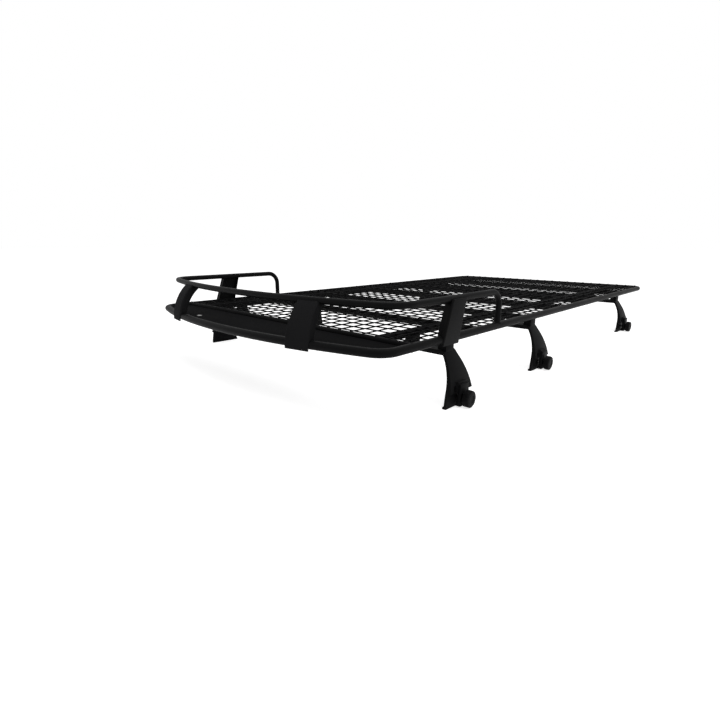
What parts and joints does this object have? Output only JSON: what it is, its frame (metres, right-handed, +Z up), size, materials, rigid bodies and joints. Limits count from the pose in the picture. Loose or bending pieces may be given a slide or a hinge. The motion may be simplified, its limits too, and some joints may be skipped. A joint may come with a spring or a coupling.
{
  "type": "mesh-floor roof rack with gutter legs",
  "caption": "Steel tube roof rack with a bowed front, welded mesh floor, raised front hoop rail and bowed legs that clamp onto a vehicle's roof gutters with hand knobs.",
  "frame": {"origin": "on the ground under the middle of the rack", "axes": "+Z up, the bowed front faces -Y, and +X is to the right when the front is looked at along +Y"},
  "size_m": [1.4042, 2.52, 0.32],
  "materials": {
    "frame_coat": "satin black powder coat",
    "leg_coat": "satin black coated casting",
    "screw_zinc": "zinc plated",
    "knob_plastic": "moulded black plastic"
  },
  "bodies": {
    "rack": {"front_bow_tube": "frame_coat", "left_side_tube": "frame_coat", "right_side_tube": "frame_coat", "rear_tube": "frame_coat", "cross_tube_1": "frame_coat", "cross_tube_2": "frame_coat", "cross_tube_3": "frame_coat", "cross_tube_4": "frame_coat", "cross_tube_5": "frame_coat", "cross_tube_6": "frame_coat", "cross_tube_7": "frame_coat", "left_stringer": "frame_coat", "right_stringer": "frame_coat", "mesh_floor_1": "frame_coat", "mesh_floor_2": "frame_coat", "mesh_floor_3": "frame_coat", "front_panel": "frame_coat", "hoop_rail_front": "frame_coat", "hoop_rail_left": "frame_coat", "hoop_rail_right": "frame_coat", "front_left_stanchion": "frame_coat", "front_right_stanchion": "frame_coat", "side_left_stanchion": "frame_coat", "side_right_stanchion": "frame_coat", "front_left_leg": "leg_coat", "front_left_jaw": "leg_coat", "front_left_screw": "screw_zinc", "front_right_leg": "leg_coat", "front_right_jaw": "leg_coat", "front_right_screw": "screw_zinc", "middle_left_leg": "leg_coat", "middle_left_jaw": "leg_coat", "middle_left_screw": "screw_zinc", "middle_right_leg": "leg_coat", "middle_right_jaw": "leg_coat", "middle_right_screw": "screw_zinc", "rear_left_leg": "leg_coat", "rear_left_jaw": "leg_coat", "rear_left_screw": "screw_zinc", "rear_right_leg": "leg_coat", "rear_right_jaw": "leg_coat", "rear_right_screw": "screw_zinc"},
    "front_left_knob": {"front_left_knob": "knob_plastic"},
    "front_right_knob": {"front_right_knob": "knob_plastic"},
    "middle_left_knob": {"middle_left_knob": "knob_plastic"},
    "middle_right_knob": {"middle_right_knob": "knob_plastic"},
    "rear_left_knob": {"rear_left_knob": "knob_plastic"},
    "rear_right_knob": {"rear_right_knob": "knob_plastic"}
  },
  "joints": [
    {"name": "front_left_knob_turn", "type": "hinge", "parent": "rack", "child": "front_left_knob", "pos_m": [-0.69, -0.8677, 0.027], "axis": [-1, 0, 0], "continuous": true},
    {"name": "front_right_knob_turn", "type": "hinge", "parent": "rack", "child": "front_right_knob", "pos_m": [0.69, -0.8677, 0.027], "axis": [1, 0, 0], "continuous": true},
    {"name": "middle_left_knob_turn", "type": "hinge", "parent": "rack", "child": "middle_left_knob", "pos_m": [-0.69, -0.2997, 0.027], "axis": [-1, 0, 0], "continuous": true},
    {"name": "middle_right_knob_turn", "type": "hinge", "parent": "rack", "child": "middle_right_knob", "pos_m": [0.69, -0.2997, 0.027], "axis": [1, 0, 0], "continuous": true},
    {"name": "rear_left_knob_turn", "type": "hinge", "parent": "rack", "child": "rear_left_knob", "pos_m": [-0.69, 0.7673, 0.027], "axis": [-1, 0, 0], "continuous": true},
    {"name": "rear_right_knob_turn", "type": "hinge", "parent": "rack", "child": "rear_right_knob", "pos_m": [0.69, 0.7673, 0.027], "axis": [1, 0, 0], "continuous": true}
  ]
}
